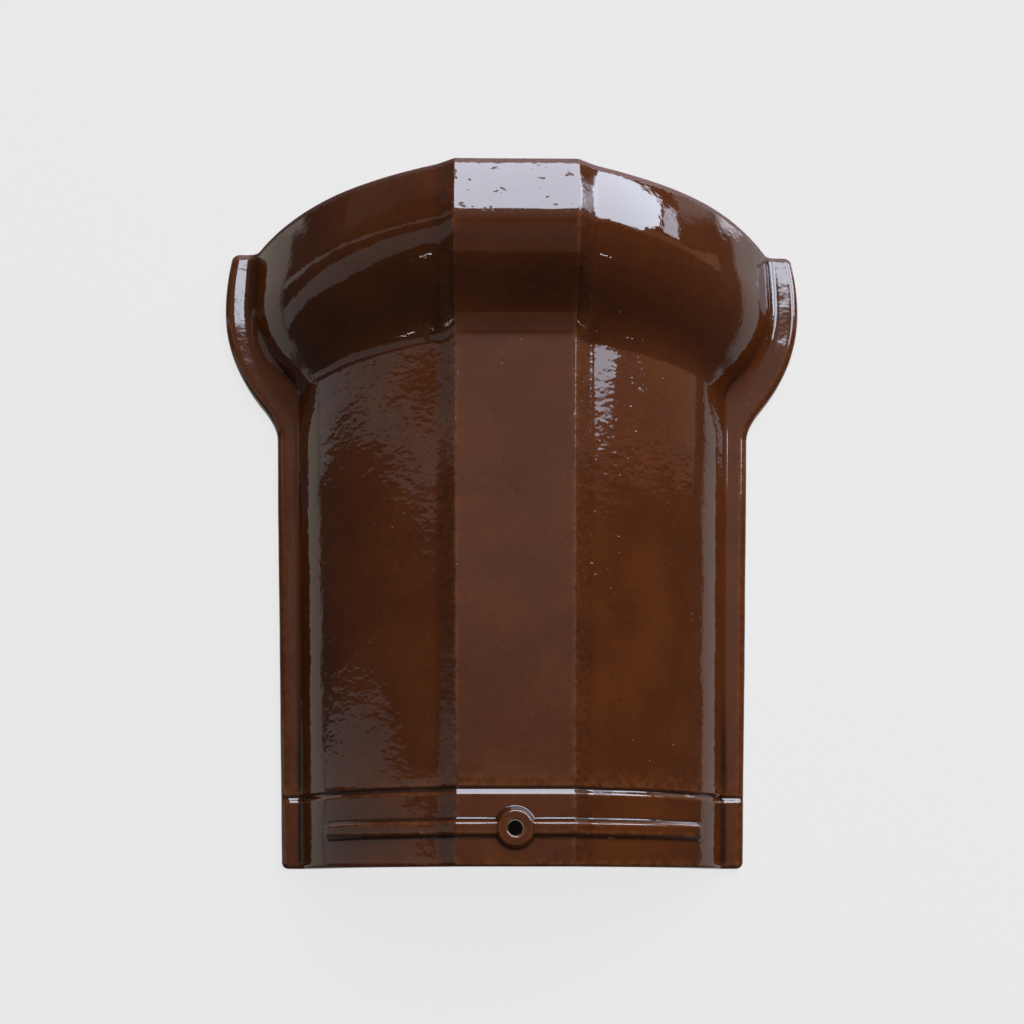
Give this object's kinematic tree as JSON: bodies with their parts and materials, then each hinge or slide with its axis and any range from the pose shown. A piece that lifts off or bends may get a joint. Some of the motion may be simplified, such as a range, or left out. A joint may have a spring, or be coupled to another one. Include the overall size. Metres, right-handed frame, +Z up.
{
  "type": "ridge tile",
  "caption": "Glazed ceramic ridge tile, a hollow arched shell with a flat ridge, side flanges, a flared collar, and a nail hole in its tail.",
  "frame": {"origin": "Centre of the footprint, on the ground that the flanges stand on", "axes": "+Z up; Y runs along the ridge, -Y at the narrow tail and +Y at the mouth of the collar; +X to the right when looking from the tail to the collar"},
  "size_m": [0.3818, 0.4, 0.1535],
  "materials": {
    "brown_glaze": "glossy brown glaze over pressed and fired clay"
  },
  "bodies": {
    "root": {"ridge_tile": "brown_glaze"}
  },
  "joints": []
}
